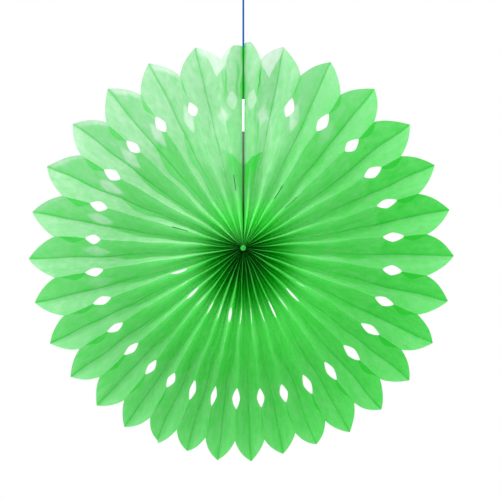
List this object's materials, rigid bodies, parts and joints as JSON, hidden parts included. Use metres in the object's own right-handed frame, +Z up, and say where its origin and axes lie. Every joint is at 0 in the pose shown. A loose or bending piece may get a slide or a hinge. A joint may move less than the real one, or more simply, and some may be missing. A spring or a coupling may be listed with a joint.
{
  "type": "paper fan rosette",
  "caption": "Round pleated tissue paper fan rosette with punched holes and a scalloped rim, hanging on a thread",
  "frame": {"origin": "middle of the hub, halfway between the fan's front and back, where the rosette is pinned flat", "axes": "+Z up along the hanging thread, +Y from the front towards the back through the hub, +X to the right seen from the front"},
  "size_m": [0.2999, 0.0304, 0.3546],
  "materials": {
    "green_tissue": "matte translucent tissue",
    "green_thread": "matte",
    "blue_thread": "matte twisted thread",
    "white_tape": "matte"
  },
  "bodies": {
    "root": {"pleated_fan": "green_tissue", "centre_tie": "green_thread", "hanging_thread": "blue_thread", "closing_tape": "white_tape", "hanging_loop": "blue_thread"}
  },
  "joints": []
}
